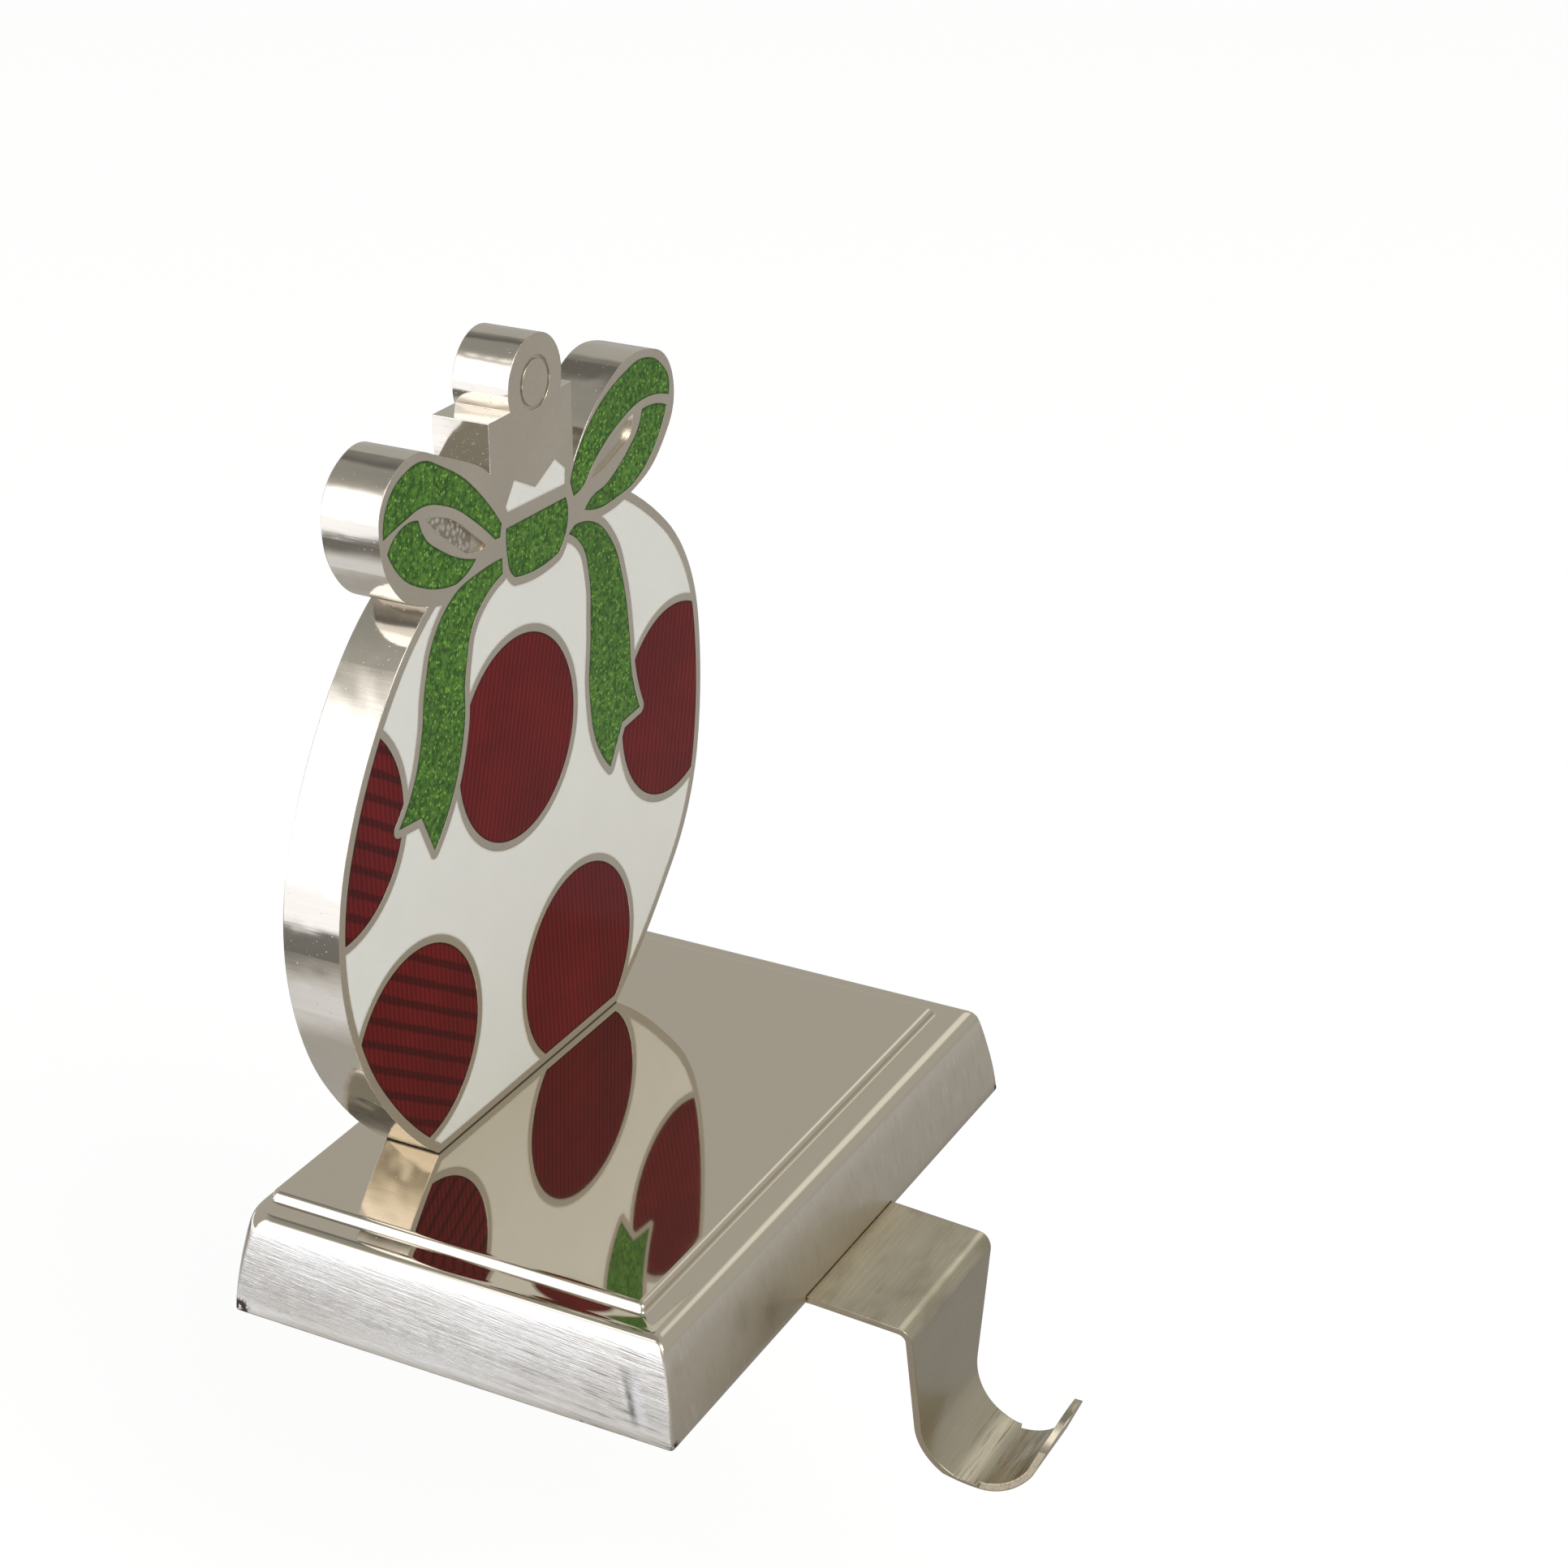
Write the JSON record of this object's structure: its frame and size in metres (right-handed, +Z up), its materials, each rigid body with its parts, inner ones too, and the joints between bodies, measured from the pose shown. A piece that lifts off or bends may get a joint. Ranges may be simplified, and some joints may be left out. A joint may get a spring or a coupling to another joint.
{
  "type": "mantel stocking holder",
  "caption": "Weighted mantel stocking holder: a nickel-plated base with a strip hook in front and an enamelled bauble figure with a bow standing on it.",
  "frame": {"origin": "middle of the base's underside, on the mantel", "axes": "+Z up, -Y towards the room (the hook side), +X to the right seen from the room"},
  "size_m": [0.0986, 0.0998, 0.1468],
  "materials": {
    "plated_casting": "polished and satin nickel plate on cast zinc",
    "plated_strip": "satin nickel plate on steel strip",
    "ballast_steel": "plain mild steel",
    "screw_steel": "bright zinc-plated steel",
    "pad_felt": "tan felt",
    "green_enamel": "translucent green enamel over a hammered ground",
    "red_enamel": "translucent deep red enamel over engraved lines",
    "white_enamel": "glossy opaque white enamel"
  },
  "bodies": {
    "root": {"base_shell": "plated_casting", "ballast_plate": "ballast_steel", "base_pad": "pad_felt", "hook_screws": "screw_steel", "figure_screws": "screw_steel", "hook_strip": "plated_strip", "figure_casting": "plated_casting", "green_left_loop_upper": "green_enamel", "green_left_loop_lower": "green_enamel", "green_knot": "green_enamel", "green_right_loop_upper": "green_enamel", "green_right_loop_lower": "green_enamel", "green_left_tail": "green_enamel", "green_right_tail": "green_enamel", "red_dot_top": "red_enamel", "red_dot_right": "red_enamel", "red_dot_left": "red_enamel", "red_dot_lower_left": "red_enamel", "red_dot_lower_right": "red_enamel", "white_left_sliver": "white_enamel", "white_field": "white_enamel", "white_right_cell": "white_enamel", "white_cap_notch": "white_enamel"}
  },
  "joints": []
}
